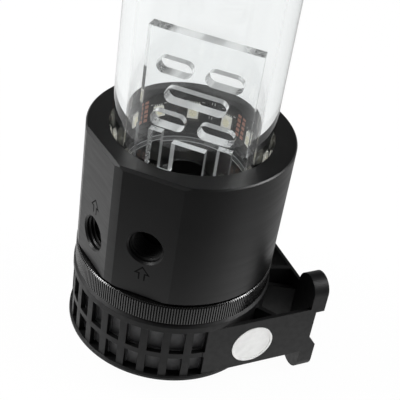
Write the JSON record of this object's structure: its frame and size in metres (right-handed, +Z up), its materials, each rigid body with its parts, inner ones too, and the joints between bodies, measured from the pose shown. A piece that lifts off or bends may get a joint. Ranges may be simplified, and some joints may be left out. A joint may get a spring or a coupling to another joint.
{
  "type": "coolant pump reservoir",
  "caption": "Clear tube reservoir on a round body with two threaded ports, over a wet-rotor pump clamped by a knurled ring and carried by a windowed holder with a bracket plate.",
  "frame": {"origin": "centre of the motor end cap's underside, on which the object stands", "axes": "+Z up along the tube, impeller and motor axis; +X towards the bracket plate; +Y to the plain arm's side"},
  "size_m": [0.0908, 0.0806, 0.2033],
  "materials": {
    "black_acetal": "satin, fine turned lines",
    "clear_acrylic": "polished",
    "holder_plastic": "fine moulded grain",
    "ring_metal": "black anodised, knurled",
    "motor_plastic": "moulded",
    "damper_rubber": "matt",
    "seal_rubber": "matt",
    "strip_film": "satin film",
    "led_white": "moulded case round a pale window",
    "chip_black": "matt",
    "impeller_plastic": "moulded",
    "magnet": "sintered",
    "ceramic": "polished",
    "steel": "drawn and screwed steel",
    "stator_steel": "laminated",
    "copper_wire": "enamelled windings",
    "board_green": "solder mask",
    "insert_brass": "turned",
    "plug_metal": "black satin",
    "badge_white": "satin"
  },
  "bodies": {
    "housing": {"reservoir_body": "black_acetal", "reservoir_tube": "clear_acrylic", "tube_lower_seal": "seal_rubber", "tube_upper_seal": "seal_rubber", "top_cap": "black_acetal", "baffle_plate": "clear_acrylic", "led_strip": "strip_film", "led_chips": "led_white", "led_resistors": "chip_black", "led_cable_grommet": "seal_rubber", "pump_seal": "seal_rubber", "bearing_ball": "ceramic", "bearing_post": "steel", "separating_can": "steel", "motor_housing": "motor_plastic", "stator_core": "stator_steel", "stator_coils": "copper_wire", "circuit_board": "board_green", "board_parts": "chip_black", "motor_end_cap": "motor_plastic", "end_cap_screws": "steel", "pump_cable_gland": "seal_rubber", "retaining_ring": "ring_metal", "pump_holder": "holder_plastic", "damper_sleeve": "damper_rubber", "ear_inserts": "insert_brass", "badge": "badge_white"},
    "impeller": {"impeller": "impeller_plastic", "rotor_magnet": "magnet", "bearing_cup": "ceramic"},
    "plug_seal": {"fill_plug_seal": "seal_rubber"},
    "plug": {"fill_plug": "plug_metal"}
  },
  "joints": [
    {"name": "impeller_spin", "type": "hinge", "parent": "housing", "child": "impeller", "pos_m": [0, 0, 0.0603], "axis": [0, 0, 1], "continuous": true},
    {"name": "plug_lift", "type": "slide", "parent": "housing", "child": "plug_seal", "axis": [0, 0, 1], "range_m": [0, 0.0085]},
    {"name": "plug_turn", "type": "hinge", "parent": "plug_seal", "child": "plug", "pos_m": [0, 0, 0.1988], "axis": [0, 0, 1], "range_deg": [0, 2160]}
  ],
  "couplings": [
    {"joint": "plug_lift", "follows": "plug_turn", "m_per_rad": 0.00021279}
  ]
}
